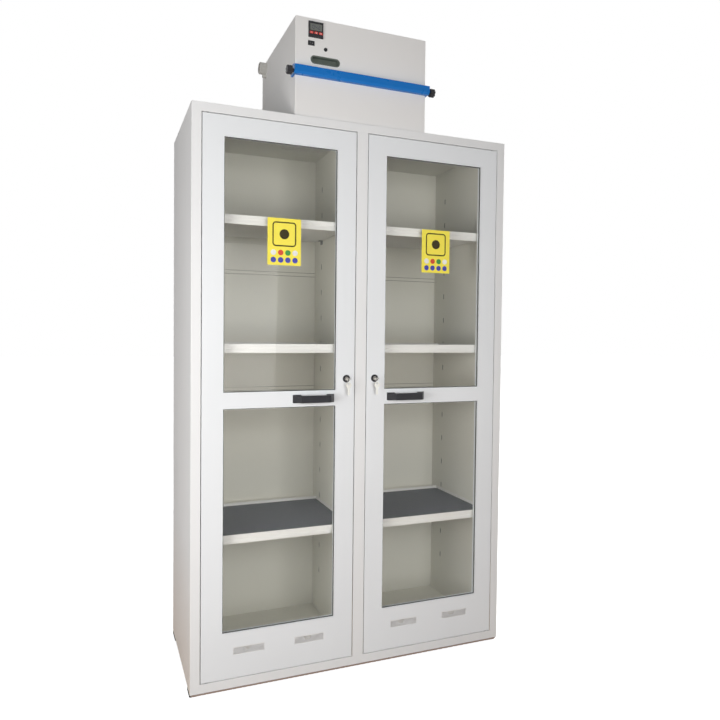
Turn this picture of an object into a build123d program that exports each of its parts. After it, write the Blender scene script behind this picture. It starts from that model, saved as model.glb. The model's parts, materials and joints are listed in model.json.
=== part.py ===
from build123d import *
import math
import os

# Safety storage cabinet with two glazed doors and a filter unit on its roof.
# Millimetres. X runs along the front to the right, Y from the front to the
# back and Z up. The origin is on the floor, under the centre of the whole
# outline, so the handles in front and the back panel are equally far away.

# Carcass
cabinet_width = 1194.0
cabinet_depth = 515.0
body_height = 1950.0
foot_height = 15.0
sheet = 1.5
stile_width = 32.0
rail_height = 30.0
post_width = 41.0
partition_thickness = 29.0
ceiling_drop = 20.0
back_cavity = 16.0
bend_radius = 2.0
top_edge_radius = 1.0
cut_over = 1.0

# Lap seams across the back liners
seam_first_height = 484.0
seam_pitch = 480.0
seam_height = 13.0
seam_proud = 1.5
seam_end_gap = 0.5

# Feet and base strips
foot_width = 29.0
front_foot_length = 52.0
front_foot_setback = 12.0
rear_foot_length = 72.0
rear_foot_setback = 2.0
foot_side_inset = 0.0
foot_chamfer = 3.0
base_strip_setback = 5.0
base_strip_depth = 6.0
base_strip_height = 9.0
base_strip_end_gap = 4.0

# Air openings between the cabinet and the filter unit
air_opening_width = 180.0
air_opening_depth = 220.0
air_opening_inset = 10.0
air_slot_width = 9.0
air_slot_pitch = 18.0

# Slots for the shelf clips
slot_width = 5.0
slot_height = 22.0
slot_pitch = 106.0
slot_first_height = 207.0
slot_count = 16
slot_front_inset = 60.0
slot_rear_inset = 90.0

# Doors
door_gap = 3.0
door_depth = 22.0
door_sheet = 1.2
door_stile = 71.0
door_top_rail = 69.0
door_bottom_rail = 156.0
door_middle_rail = 55.0
door_middle_height = 974.5
door_edge_radius = 0.8
pivot_inset = 18.0
pivot_setback = 10.0
pin_radius = 4.0
running_gap = 0.05
pin_in_door = 12.0
pin_in_rail = 9.0
collar_radius = 8.0
collar_gap = 0.3
pivot_block_width = 18.0
pivot_block_height = 14.0

# Glass
glass_thickness = 4.0
glass_overlap = 10.0

# Vent grilles at the foot of each door
vent_width = 108.0
vent_height = 27.0
vent_spacing = 215.5
vent_centre_height = 124.0
vent_hole = 3.0
vent_pitch = 4.5
vent_border = 2.0
vent_rim = 6.0
vent_fit = 0.2

# Sign cards on the upper panes
sign_width = 118.0
sign_height = 160.0
sign_thickness = 0.8
sign_centre_height = 1514.0
sign_shift = 7.0
sign_corner = 3.0

# Bow handles
handle_reach = 36.0
handle_foot_length = 152.0
handle_bar_length = 106.0
handle_height = 25.0
handle_bar_depth = 12.0
handle_edge_radius = 3.0
handle_leg = 28.0
handle_pad_height = 28.5
handle_pad_depth = 10.0
handle_pad_chamfer = 0.8
handle_inset_left = 152.5
handle_inset_right = 157.5

# Locks and keys
lock_inset = 31.0
lock_height = 1042.0
lock_ring_radius = 13.5
lock_ring_proud = 4.0
lock_barrel_radius = 9.5
lock_barrel_length = 23.2
plug_radius = 7.0
plug_proud = 4.0
cam_length = 37.0
cam_width = 13.0
cam_thickness = 2.0
cam_gap = 0.6
key_thickness = 2.2
key_blade_height = 7.5
key_blade_in_plug = 15.0
key_neck = 1.0
key_bow_radius = 10.5
key_hole_radius = 3.8
key_hole_rim = 2.4
key_fit = 0.1
ring_radius = 9.0
ring_wire_radius = 0.9
ring_clearance = 0.3
spare_blade_length = 24.0
spare_blade_width = 8.0

# Shelves
shelf_tops = (1600.0, 1164.0, 511.0)
shelf_side_gap = 1.0
shelf_front_inset = 34.0
shelf_depth = 418.0
shelf_lip_height = 31.0
shelf_rim_height = 12.0
shelf_sheet = 1.2
shelf_skirt_setback = 2.5
mat_thickness = 2.0
mat_edge_gap = 3.0
clip_width = 26.0
clip_leg = 14.0
clip_drop = 16.0
clip_thickness = 1.6

# Filter unit
filter_width = 500.0
filter_depth = 480.0
filter_setback = 8.0
filter_base_height = 172.0
filter_hood_height = 168.0
filter_sheet = 1.5
filter_flange = 14.0
hood_gap = 0.6
hood_edge_radius = 2.5
base_edge_radius = 1.2

# Filter cassette
cassette_side_gap = 8.0
cassette_height = 140.0
cassette_rim = 14.0
cassette_recess = 8.0
pleat_pitch = 14.0
pleat_slot = 6.0
pleat_depth = 26.0

# Hood hinges
hinge_offset = 150.0
hinge_width = 50.0
hinge_standoff = 8.0
hinge_knuckle_radius = 6.0
hinge_pin_radius = 2.5
hinge_middle_width = 16.0
hinge_side_gap = 0.4
hinge_leaf_height = 32.0
hinge_leaf_thickness = 2.0
hinge_web = 5.0

# Clamp bar and its knobs
bar_reach = 22.0
bar_height = 35.0
bar_nose_drop = 6.0
bar_lower_slope = 7.0
bar_top_above_split = 1.0
bar_tab_thickness = 8.0
bar_tab_length = 28.0
bar_fit = 0.5
knob_radius = 15.0
knob_length = 18.0
knob_chamfer = 1.5
knob_neck_radius = 6.0
knob_neck_length = 6.0
knob_stud_radius = 4.0
knob_stud_length = 9.0
knob_lobes = 7
knob_lobe_radius = 3.0
knob_axis_reach = 8.5
knob_axis_drop = 25.0
knob_seat_gap = 0.3
knob_hole_spare = 0.8

# Controls on the front of the hood, from its left edge and its top edge
controller_left = 46.0
controller_top = 12.0
controller_width = 53.0
controller_height = 54.0
controller_proud = 6.0
controller_chamfer = 1.5
controller_body = 30.0
controller_rim = 4.0
display_width = 43.0
display_height = 23.0
display_top = 8.0
display_thickness = 2.0
display_recess = 0.6
key_pad_width = 12.0
key_pad_height = 7.0
key_pad_spacing = 16.5
key_pad_top = 39.0
key_pad_length = 4.5
key_pad_travel = 1.2
key_pad_fit = 0.2
key_pad_proud = 1.4
rocker_left = 45.0
rocker_top = 78.0
rocker_bezel_width = 23.0
rocker_bezel_height = 16.0
rocker_bezel_proud = 2.0
rocker_bezel_body = 14.0
rocker_wall = 2.0
rocker_fit = 0.5
rocker_tilt = 6.0
rocker_depth = 8.0
rocker_taper = 2.5
rocker_edge_set = 1.0
rocker_middle_set = 0.2
rocker_pin_radius = 1.2
rocker_pin_reach = 0.6
rocker_pin_cover = 1.2
bezel_lip = 1.0
button_left = 109.0
button_top = 100.0
button_radius = 4.6
button_fit = 0.15
button_collar_radius = 6.5
button_collar_proud = 2.0
button_body = 12.0
button_proud = 3.2
button_travel = 2.0
cup_left = 108.5
cup_top = 140.0
cup_length = 108.0
cup_height = 28.0
cup_flange = 3.0
cup_depth = 16.0
cup_wall = 1.5
cup_flange_proud = 1.0
panel_fit = 0.2

# Power inlet on the left of the hood
inlet_radius = 23.0
inlet_length = 28.0
inlet_from_back = 58.0
inlet_from_top = 28.0
inlet_recess_radius = 15.0
inlet_recess_depth = 16.0
inlet_edge_radius = 4.0
inlet_tab_width = 10.0
inlet_tab_height = 12.0

# Exhaust slots in the back of the hood
exhaust_slot_length = 60.0
exhaust_slot_height = 5.0
exhaust_slot_pitch = 12.0
exhaust_rows = 7
exhaust_columns = 5
exhaust_column_pitch = 72.0

# Fan
motor_radius = 46.0
motor_height = 58.0
motor_flange_radius = 60.0
motor_flange_thickness = 3.0
shaft_radius = 6.0
impeller_radius = 96.0
impeller_hub_radius = 16.0
impeller_height = 52.0
impeller_plate = 2.0
impeller_ring_width = 26.0
impeller_blades = 9
impeller_blade_angle = 32.0
impeller_blade_length = 35.0
impeller_blade_middle = 75.0
impeller_motor_gap = 4.0
impeller_hub_height = 24.0
impeller_hub_bore_end = 20.0

# Places worked out from the sizes above
front = handle_reach / 2 - cabinet_depth / 2
back = front + cabinet_depth
half_width = cabinet_width / 2
floor_z = foot_height
roof_z = foot_height + body_height
opening_left = -half_width + stile_width
opening_right = -post_width / 2
opening_bottom = floor_z + rail_height
opening_top = roof_z - rail_height
door_left_edge = opening_left + door_gap
door_right_edge = opening_right - door_gap
door_bottom = opening_bottom + door_gap
door_top = opening_top - door_gap
door_back = front + door_depth
liner_back = back - sheet - back_cavity
ceiling_z = roof_z - ceiling_drop
window_left = door_left_edge + door_stile
window_right = door_right_edge - door_stile
window_centre = (window_left + window_right) / 2
middle_bottom = floor_z + door_middle_height - door_middle_rail / 2
middle_top = middle_bottom + door_middle_rail
lower_window = (door_bottom + door_bottom_rail, middle_bottom)
upper_window = (middle_top, door_top - door_top_rail)
pivot_x = door_left_edge + pivot_inset
pivot_y = front + pivot_setback
lock_x = door_right_edge - lock_inset
lock_z = floor_z + lock_height
bay_left = opening_left
bay_right = -partition_thickness / 2
filter_front = front + filter_setback
filter_back = filter_front + filter_depth
split_z = roof_z + filter_base_height
hood_bottom = split_z + hood_gap
hood_top = split_z + filter_hood_height
filter_left = -filter_width / 2
fan_y = (filter_front + filter_back) / 2
hinge_y = filter_back + hinge_standoff
knob_y = filter_front - knob_axis_reach
knob_z = split_z + bar_top_above_split - knob_axis_drop
key_bow_y = front - plug_proud - key_neck - key_bow_radius
key_rim_y = key_bow_y - key_bow_radius + key_hole_rim / 2


def slab(x, y, z):
    """A block between two corners, each axis given as (low, high)."""
    size = [high - low for low, high in (x, y, z)]
    middle = [(high + low) / 2 for low, high in (x, y, z)]
    return Pos(*middle) * Box(*size)


def prism_x(points, x0, x1):
    """An outline of (y, z) points drawn out along X."""
    return extrude(Plane.YZ.offset(x0) * make_face(Polyline(*points, close=True)), x1 - x0)


def prism_z(points, z0, z1):
    """An outline of (x, y) points drawn out along Z."""
    return extrude(Plane.XY.offset(z0) * make_face(Polyline(*points, close=True)), z1 - z0)


def rod_x(radius, x0, x1, y, z):
    return Pos((x0 + x1) / 2, y, z) * Rot(0, 90, 0) * Cylinder(radius, x1 - x0)


def rod_y(radius, y0, y1, x, z):
    return Pos(x, (y0 + y1) / 2, z) * Rot(90, 0, 0) * Cylinder(radius, y1 - y0)


def rod_z(radius, z0, z1, x, y):
    return Pos(x, y, (z0 + z1) / 2) * Cylinder(radius, z1 - z0)


def other_side(shape):
    """The same piece on the other side of the cabinet's middle."""
    return mirror(shape, about=Plane.YZ)


def side_panel():
    """Outer side, folded round the front into a stile, with a foot flange."""
    x0 = -half_width
    x1 = opening_left
    y1 = back - sheet
    outline = [
        (x0, front), (x1, front), (x1, door_back), (x1 - sheet, door_back),
        (x1 - sheet, front + sheet), (x0 + sheet, front + sheet),
        (x0 + sheet, y1), (x0, y1),
    ]
    panel = prism_z(outline, floor_z, roof_z - sheet)
    corner = panel.edges().filter_by(Axis.Z).sort_by_distance((x0, front, roof_z / 2))[0]
    panel = fillet(corner, bend_radius)
    flange = slab((x0 + sheet, x1), (front + sheet, y1), (floor_z, floor_z + sheet))
    return panel + flange


def slot_cuts(x0, x1):
    """Two columns of upright clip slots through a liner or partition wall."""
    cuts = []
    for row in range(slot_count):
        z = floor_z + slot_first_height + row * slot_pitch
        if z + slot_height > ceiling_z:
            break
        for y in (door_back + slot_front_inset, liner_back - slot_rear_inset):
            cuts.append(slab((x0, x1), (y, y + slot_width), (z - slot_height / 2, z + slot_height / 2)))
    return cuts


def side_liner():
    x0 = opening_left - sheet
    wall = slab((x0, opening_left), (door_back, liner_back), (opening_bottom, ceiling_z))
    return wall - slot_cuts(x0 - sheet, opening_left + sheet)


def partition():
    """Hollow wall between the two compartments, open at its top and bottom."""
    half = partition_thickness / 2
    inner = half - sheet
    wall = slab((-half, half), (door_back, liner_back), (opening_bottom, ceiling_z))
    wall -= slab((-inner, inner), (door_back + sheet, liner_back - sheet), (opening_bottom, ceiling_z))
    return wall - slot_cuts(-partition_thickness, partition_thickness)


def back_liner():
    """Rear wall of a bay, in panels that lap over each other in flat seams."""
    x = (bay_left - sheet, bay_right + sheet)
    wall = slab(x, (liner_back, liner_back + sheet), (opening_bottom - sheet, ceiling_z))
    seam_x = (bay_left + seam_end_gap, bay_right - seam_end_gap)
    seam_y = (liner_back - seam_proud, liner_back)
    z = floor_z + seam_first_height
    while z + seam_height < ceiling_z:
        wall += slab(seam_x, seam_y, (z, z + seam_height))
        z += seam_pitch
    return wall


def air_openings():
    """The two holes in the roof, one over each compartment."""
    near = partition_thickness / 2 + air_opening_inset
    hole = slab((-near - air_opening_width, -near),
                (fan_y - air_opening_depth / 2, fan_y + air_opening_depth / 2),
                (ceiling_z - sheet, roof_z + sheet))
    return [hole, other_side(hole)]


def air_slots():
    """Rows of slots in the ceiling liner, under the holes in the roof."""
    slots = []
    near = partition_thickness / 2 + air_opening_inset
    rows = int(air_opening_depth // air_slot_pitch)
    for row in range(rows):
        y = fan_y + (row - (rows - 1) / 2) * air_slot_pitch
        slot = slab((-near - air_opening_width, -near),
                    (y - air_slot_width / 2, y + air_slot_width / 2),
                    (ceiling_z - sheet, ceiling_z + 2 * sheet))
        slots += [slot, other_side(slot)]
    return slots


def top_panel():
    panel = slab((-half_width, half_width), (front, back), (roof_z - sheet, roof_z))
    rim = panel.faces().sort_by(Axis.Z)[-1].edges()
    return fillet(rim, top_edge_radius) - air_openings()


def ceiling_liner():
    x1 = half_width - stile_width
    liner = slab((-x1, x1), (door_back, liner_back + sheet), (ceiling_z, ceiling_z + sheet))
    return liner - air_slots()


def floor_panel():
    """Inverted tray whose top is the floor of both compartments."""
    x1 = half_width - stile_width
    top = slab((-x1, x1), (door_back, liner_back), (opening_bottom - sheet, opening_bottom))
    rear = slab((-x1, x1), (liner_back - sheet, liner_back), (floor_z, opening_bottom))
    left = slab((-x1, -x1 + sheet), (door_back, liner_back), (floor_z, opening_bottom))
    return top + rear + left + other_side(left)


def back_panel():
    return slab((-half_width, half_width), (back - sheet, back), (floor_z, roof_z - sheet))


def front_rail(z0, z1):
    """Hollow rail between the stiles; its pin holes are cut by the caller."""
    x1 = half_width - stile_width
    rail = slab((-x1, x1), (front, door_back), (z0, z1))
    return rail - slab((-x1, x1), (front + sheet, door_back - sheet), (z0 + sheet, z1 - sheet))


def pin_holes(z0, z1):
    hole = rod_z(pin_radius + running_gap, z0, z1, pivot_x, pivot_y)
    return [hole, other_side(hole)]


def front_top_rail():
    rail = front_rail(opening_top, roof_z - sheet)
    return rail - pin_holes(opening_top - sheet, opening_top + 2 * sheet)


def front_bottom_rail():
    rail = front_rail(floor_z, opening_bottom)
    return rail - pin_holes(opening_bottom - 2 * sheet, opening_bottom + sheet)


def centre_post():
    half = post_width / 2
    post = slab((-half, half), (front, door_back), (opening_bottom, opening_top))
    core = slab((-half + sheet, half - sheet), (front + sheet, door_back - sheet),
                (opening_bottom, opening_top))
    return post - core


def door_pins():
    """Four pivot pins; the lower ones carry their door on a collar."""
    upper = rod_z(pin_radius, door_top - pin_in_door, opening_top + pin_in_rail, pivot_x, pivot_y)
    lower = rod_z(pin_radius, opening_bottom - pin_in_rail, door_bottom + pin_in_door, pivot_x, pivot_y)
    collar = rod_z(collar_radius, opening_bottom, door_bottom - collar_gap, pivot_x, pivot_y)
    lower += collar
    return [upper, lower, other_side(upper), other_side(lower)]


def feet():
    """Four corner pads under the side panels."""
    x0 = -half_width + foot_side_inset
    y0 = front + front_foot_setback
    y1 = back - rear_foot_setback
    pads = []
    for y in ((y0, y0 + front_foot_length), (y1 - rear_foot_length, y1)):
        pad = slab((x0, x0 + foot_width), y, (0, foot_height))
        pad = chamfer(pad.faces().sort_by(Axis.Z)[0].edges(), foot_chamfer)
        pads += [pad, other_side(pad)]
    return pads


def base_strips():
    """Strip across the front and one between the rear feet, clear of the ground."""
    z = (floor_z - base_strip_height, floor_z)
    front_x = half_width - base_strip_end_gap
    rear_x = half_width - foot_side_inset - foot_width - base_strip_end_gap
    front_y = front + base_strip_setback
    rear_y = liner_back - sheet / 2 - base_strip_depth / 2
    return [slab((-x, x), (y, y + base_strip_depth), z)
            for x, y in ((front_x, front_y), (rear_x, rear_y))]


def shelf(top):
    """Tray with a rim all round and a taller folded lip at the front."""
    x0 = bay_left + shelf_side_gap
    x1 = bay_right - shelf_side_gap
    y0 = front + shelf_front_inset
    y1 = y0 + shelf_depth
    z1 = floor_z + top
    z0 = z1 - shelf_rim_height
    tray = slab((x0, x1), (y0, y1), (z0 - shelf_sheet, z1))
    tray -= slab((x0 + shelf_sheet, x1 - shelf_sheet),
                 (y0 + shelf_sheet, y1 - shelf_sheet), (z0, z1))
    skirt_y = y0 + shelf_skirt_setback
    skirt = slab((x0, x1), (skirt_y, skirt_y + shelf_sheet), (z1 - shelf_lip_height, z0))
    return tray + skirt


def shelf_mat(top):
    x0 = bay_left + shelf_side_gap + shelf_sheet + mat_edge_gap
    x1 = bay_right - shelf_side_gap - shelf_sheet - mat_edge_gap
    y0 = front + shelf_front_inset + shelf_sheet + mat_edge_gap
    y1 = front + shelf_front_inset + shelf_depth - shelf_sheet - mat_edge_gap
    z0 = floor_z + top - shelf_rim_height
    return slab((x0, x1), (y0, y1), (z0, z0 + mat_thickness))


def shelf_clips(top):
    """Four angle clips that carry one tray by the walls of its bay."""
    z1 = floor_z + top - shelf_rim_height - shelf_sheet
    clips = []
    for wall, way in ((bay_left, 1), (bay_right, -1)):
        for y in (door_back + slot_front_inset, liner_back - slot_rear_inset):
            middle = y + slot_width / 2
            across = (middle - clip_width / 2, middle + clip_width / 2)
            leg = slab(sorted((wall, wall + way * clip_leg)), across, (z1 - clip_thickness, z1))
            plate = slab(sorted((wall, wall + way * clip_thickness)), across, (z1 - clip_drop, z1))
            clips.append(leg + plate)
    return clips


def both_bays(make):
    """One piece for each shelf height, in the left and the right bay."""
    pieces = []
    for top in shelf_tops:
        made = make(top)
        for piece in made if isinstance(made, list) else [made]:
            pieces += [piece, other_side(piece)]
    return pieces


def windows(y0, y1, grow=0.0):
    return [slab((window_left - grow, window_right + grow), (y0, y1), (low - grow, high + grow))
            for low, high in (lower_window, upper_window)]


def vent_places():
    middle = (door_left_edge + door_right_edge) / 2
    return [(middle + way * vent_spacing / 2, floor_z + vent_centre_height) for way in (-1, 1)]


def door_skin():
    """Folded front pan of a door with two windows, vents and a lock hole."""
    pan = slab((door_left_edge, door_right_edge), (front, door_back), (door_bottom, door_top))
    front_edges = pan.faces().sort_by(Axis.Y)[0].edges()
    pan = fillet(front_edges, door_edge_radius)
    pan -= slab((door_left_edge + door_sheet, door_right_edge - door_sheet),
                (front + door_sheet, door_back),
                (door_bottom + door_sheet, door_top - door_sheet))
    pan -= windows(front, front + 2 * door_sheet)
    for x, z in vent_places():
        pan -= Pos(x, front, z) * Box(vent_width, 4 * door_sheet, vent_height)
    pan -= rod_y(lock_barrel_radius + panel_fit, front - cut_over, front + 2 * door_sheet, lock_x, lock_z)
    for low, high in ((door_bottom - cut_over, door_bottom + 2 * door_sheet),
                      (door_top - 2 * door_sheet, door_top + cut_over)):
        pan -= rod_z(pin_radius + running_gap, low, high, pivot_x, pivot_y)
    return pan


def pivot_block(z0):
    """Bearing block for a pin, behind the corner of the door."""
    half = pivot_block_width / 2
    block = slab((pivot_x - half, pivot_x + half),
                 (front + door_sheet, door_back - door_sheet), (z0, z0 + pivot_block_height))
    return block - rod_z(pin_radius + running_gap, z0 - cut_over, z0 + pivot_block_height + cut_over,
                         pivot_x, pivot_y)


def door_inner_panel():
    """Inner sheet whose window edges fold forward onto the back of the glass."""
    x = (door_left_edge + door_sheet, door_right_edge - door_sheet)
    z = (door_bottom + door_sheet, door_top - door_sheet)
    glass_back = front + door_sheet + glass_thickness
    panel = slab(x, (door_back - door_sheet, door_back), z)
    for low, high in (lower_window, upper_window):
        panel += slab((window_left - door_sheet, window_right + door_sheet),
                      (glass_back, door_back), (low - door_sheet, high + door_sheet))
    panel -= windows(glass_back - cut_over, door_back + cut_over)
    panel += pivot_block(door_bottom + door_sheet)
    panel += pivot_block(door_top - door_sheet - pivot_block_height)
    for place in vent_places():
        panel -= rod_y(vent_height / 2, door_back - 2 * door_sheet, door_back + cut_over, *place)
    return panel - rod_y(lock_barrel_radius + panel_fit, front, door_back + cut_over, lock_x, lock_z)


def glass(low, high):
    return slab((window_left - glass_overlap, window_right + glass_overlap),
                (front + door_sheet, front + door_sheet + glass_thickness),
                (low - glass_overlap, high + glass_overlap))


def vent_grilles():
    """Two perforated plates, each let into the door skin with a rim behind."""
    columns = int((vent_width - 2 * vent_border) // vent_pitch)
    rows = int((vent_height - 2 * vent_border) // vent_pitch)
    grilles = []
    for x, z in vent_places():
        face_size = (vent_width - 2 * vent_fit, vent_height - 2 * vent_fit)
        plate = Pos(x, front + door_sheet * 3 / 4, z) * Box(face_size[0], door_sheet / 2, face_size[1])
        rim_place = Pos(x, front + door_sheet * 3 / 2, z)
        rim = rim_place * Box(vent_width + 2 * vent_rim, door_sheet, vent_height + 2 * vent_rim)
        rim -= rim_place * Box(face_size[0] - 2 * vent_border, door_sheet, face_size[1] - 2 * vent_border)
        grid = GridLocations(vent_pitch, vent_pitch, columns, rows)
        holes = [Pos(x, front, z) * Rot(90, 0, 0) * spot * Box(vent_hole, vent_hole, 6 * door_sheet)
                 for spot in grid]
        grilles.append(plate - holes + rim)
    return grilles


def sign_card(shift):
    """Plain card stuck on the front of the upper pane."""
    card = Pos(window_centre + shift, front + door_sheet - sign_thickness / 2,
               floor_z + sign_centre_height) * Box(sign_width, sign_thickness, sign_height)
    return fillet(card.edges().filter_by(Axis.Y), sign_corner)


def handle(inset):
    """Bow handle: sloping ends, a flat bar, and a taller pad where each leg meets the door."""
    x = door_right_edge - inset
    z = floor_z + door_middle_height
    foot = handle_foot_length / 2
    bar = handle_bar_length / 2
    outer = [(x - foot, front), (x - bar, front - handle_reach),
             (x + bar, front - handle_reach), (x + foot, front)]
    bow = prism_z(outer, z - handle_height / 2, z + handle_height / 2)
    long_edges = [edge for edge in bow.edges() if edge.center().Y < front and edge.length > handle_height]
    bow = fillet(long_edges, handle_edge_radius)
    pads = prism_z(outer, z - handle_pad_height / 2, z + handle_pad_height / 2)
    pads &= slab((x - foot, x + foot), (front - handle_pad_depth, front), (z - foot, z + foot))
    pads = chamfer(pads.faces().sort_by(Axis.Y)[0].edges(), handle_pad_chamfer)
    finger_room = slab((x - foot + handle_leg, x + foot - handle_leg),
                       (front - handle_reach + handle_bar_depth, front), (z - foot, z + foot))
    return bow + pads - finger_room


def lock_case():
    """Black ring in front of the door and the barrel through it."""
    ring = rod_y(lock_ring_radius, front - lock_ring_proud, front, lock_x, lock_z)
    ring = chamfer(ring.faces().sort_by(Axis.Y)[0].edges(), lock_ring_proud / 3)
    barrel = rod_y(lock_barrel_radius, front, front + lock_barrel_length, lock_x, lock_z)
    bore = rod_y(plug_radius + running_gap, front - 2 * lock_ring_proud,
                 front + 2 * lock_barrel_length, lock_x, lock_z)
    return ring + barrel - bore


def lock_plug():
    """Turning plug with its key slot and, behind the door, its cam."""
    cam_y = front + lock_barrel_length + cam_gap
    plug = rod_y(plug_radius, front - plug_proud, cam_y, lock_x, lock_z)
    slot_half = key_thickness / 2 + key_fit
    slot_reach = key_blade_height / 2 + key_fit
    plug -= slab((lock_x - slot_reach, lock_x + slot_reach),
                 (front - plug_proud - cut_over, front - plug_proud + key_blade_in_plug + key_fit),
                 (lock_z - slot_half, lock_z + slot_half))
    cam = slab((lock_x - cam_width / 2, lock_x + cam_width / 2), (cam_y, cam_y + cam_thickness),
               (lock_z - cam_length, lock_z + cam_width / 2))
    cam = fillet(cam.edges().filter_by(Axis.Y), cam_width / 3)
    return plug + cam


def flat_key(x, y, z, blade_length, blade_width):
    """Key lying in the XY plane, bow at (x, y), blade towards +Y."""
    bow = rod_z(key_bow_radius, z - key_thickness / 2, z + key_thickness / 2, x, y)
    bow -= rod_z(key_hole_radius, z - key_thickness, z + key_thickness,
                 x, y - key_bow_radius + key_hole_rim + key_hole_radius)
    blade = slab((x - blade_width / 2, x + blade_width / 2),
                 (y, y + key_bow_radius + blade_length),
                 (z - key_thickness / 2, z + key_thickness / 2))
    blade -= slab((x - blade_width, x + blade_width), (y - key_bow_radius, y),
                  (z - key_thickness, z + key_thickness))
    hole = rod_z(key_hole_radius, z - key_thickness, z + key_thickness,
                 x, y - key_bow_radius + key_hole_rim + key_hole_radius)
    return bow + blade - hole


def lock_key():
    blade = key_neck + key_blade_in_plug
    return flat_key(lock_x, key_bow_y, lock_z, blade, key_blade_height)


def ring_centre_z():
    """The ring hangs over the front rim of the key's bow."""
    return lock_z + key_thickness / 2 + ring_clearance + ring_wire_radius - ring_radius


def spare_key():
    """Wire ring over the rim of the first key, and a second key on the ring."""
    ring_z = ring_centre_z()
    ring = Pos(lock_x, key_rim_y, ring_z) * Rot(0, 90, 0) * Torus(ring_radius, ring_wire_radius)
    key = flat_key(0, 0, 0, spare_blade_length, spare_blade_width)
    hole_top = key_bow_radius - key_hole_rim
    drop = ring_z - ring_radius + ring_wire_radius + ring_clearance - hole_top
    hanging = Pos(lock_x, key_rim_y, drop) * Rot(-90, 0, 0) * key
    return [ring, hanging]


def filter_block(z0, z1, wall=0.0):
    """The filter unit's outline between two heights, less a wall all round."""
    return slab((filter_left + wall, -filter_left - wall),
                (filter_front + wall, filter_back - wall), (z0, z1))


def filter_base():
    """Lower casing: open box with a turned-in flange above and below."""
    outer = filter_block(roof_z, split_z)
    walls = fillet(outer.edges().filter_by(Axis.Z), base_edge_radius)
    walls -= filter_block(roof_z + filter_sheet, split_z - filter_sheet, filter_sheet)
    walls -= filter_block(roof_z, roof_z + filter_sheet, filter_sheet + filter_flange)
    return walls - filter_block(split_z - filter_sheet, split_z, cassette_side_gap)


def filter_cassette():
    """Carbon filter in its frame, pleated on top."""
    gap = filter_sheet + cassette_side_gap
    x0 = filter_left + gap
    y0 = filter_front + gap
    y1 = filter_back - gap
    z0 = roof_z + filter_sheet
    z1 = z0 + cassette_height
    body = slab((x0, -x0), (y0, y1), (z0, z1))
    recess_x = -x0 - cassette_rim
    body -= slab((-recess_x, recess_x), (y0 + cassette_rim, y1 - cassette_rim), (z1 - cassette_recess, z1))
    pleats = int((2 * recess_x - pleat_slot) // pleat_pitch) + 1
    floor = z1 - cassette_recess
    slots = []
    for number in range(pleats):
        x = (number - (pleats - 1) / 2) * pleat_pitch
        slots.append(slab((x - pleat_slot / 2, x + pleat_slot / 2),
                          (y0 + cassette_rim, y1 - cassette_rim), (floor - pleat_depth, floor)))
    return body - slots


def hinge_knuckle(x0, x1, z_from, z_to):
    """Barrel on the hood axis with a web to the wall beside it."""
    barrel = rod_x(hinge_knuckle_radius, x0, x1, hinge_y, split_z)
    web = slab((x0, x1), (filter_back, hinge_y), (z_from, z_to))
    return barrel + web


def hood_hinges():
    """Two base leaves, each with its outer knuckles and the pin."""
    hinges = []
    half = hinge_width / 2
    inner = hinge_middle_width / 2 + hinge_side_gap
    for centre in (-hinge_offset, hinge_offset):
        leaf_top = split_z - hinge_web
        leaf = slab((centre - half, centre + half), (filter_back, filter_back + hinge_leaf_thickness),
                    (leaf_top - hinge_leaf_height, leaf_top))
        left = hinge_knuckle(centre - half, centre - inner, split_z - 2 * hinge_web, split_z - hood_gap)
        right = hinge_knuckle(centre + inner, centre + half, split_z - 2 * hinge_web, split_z - hood_gap)
        pin = rod_x(hinge_pin_radius, centre - half, centre + half, hinge_y, split_z)
        hinges.append(leaf + left + right + pin)
    return hinges


def hood_knuckles():
    knuckles = []
    half = hinge_middle_width / 2
    for centre in (-hinge_offset, hinge_offset):
        barrel = hinge_knuckle(centre - half, centre + half, hood_bottom, split_z + hinge_web)
        knuckles.append(barrel - rod_x(hinge_pin_radius + running_gap, centre - half, centre + half,
                                       hinge_y, split_z))
    return knuckles


def control_x(left):
    return filter_left + left


def control_z(top):
    return hood_top - top


def stadium(length, height, y0, y1, x, z):
    """Flat-sided oval block lying along X."""
    straight = (length - height) / 2
    block = slab((x - straight, x + straight), (y0, y1), (z - height / 2, z + height / 2))
    for way in (-1, 1):
        block += rod_y(height / 2, y0, y1, x + way * straight, z)
    return block


def hood_cutouts():
    """Holes in the hood for the controls and the rows of exhaust slots."""
    y = (filter_front - cut_over, filter_front + 2 * filter_sheet)
    x0 = control_x(controller_left)
    z1 = control_z(controller_top)
    rim = controller_rim - panel_fit
    cuts = [slab((x0 + rim, x0 + controller_width - rim), y, (z1 - controller_height + rim, z1 - rim))]
    x0 = control_x(rocker_left)
    z1 = control_z(rocker_top)
    rim = bezel_lip - panel_fit
    cuts.append(slab((x0 + rim, x0 + rocker_bezel_width - rim), y,
                     (z1 - rocker_bezel_height + rim, z1 - rim)))
    cuts.append(rod_y(button_collar_radius - rim, *y, control_x(button_left), control_z(button_top)))
    rim = cup_flange - panel_fit
    cuts.append(stadium(cup_length - 2 * rim, cup_height - 2 * rim, *y,
                        control_x(cup_left), control_z(cup_top)))
    cuts.append(rod_x(inlet_recess_radius, filter_left - cut_over, filter_left + 2 * filter_sheet,
                      filter_back - inlet_from_back, hood_top - inlet_from_top))
    grid = GridLocations(exhaust_column_pitch, exhaust_slot_pitch, exhaust_columns, exhaust_rows)
    middle = (hood_bottom + hood_top) / 2
    for spot in grid:
        x = spot.position.X
        z = middle + spot.position.Y
        cuts.append(stadium(exhaust_slot_length, exhaust_slot_height,
                            filter_back - 2 * filter_sheet, filter_back + cut_over, x, z))
    return cuts


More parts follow.
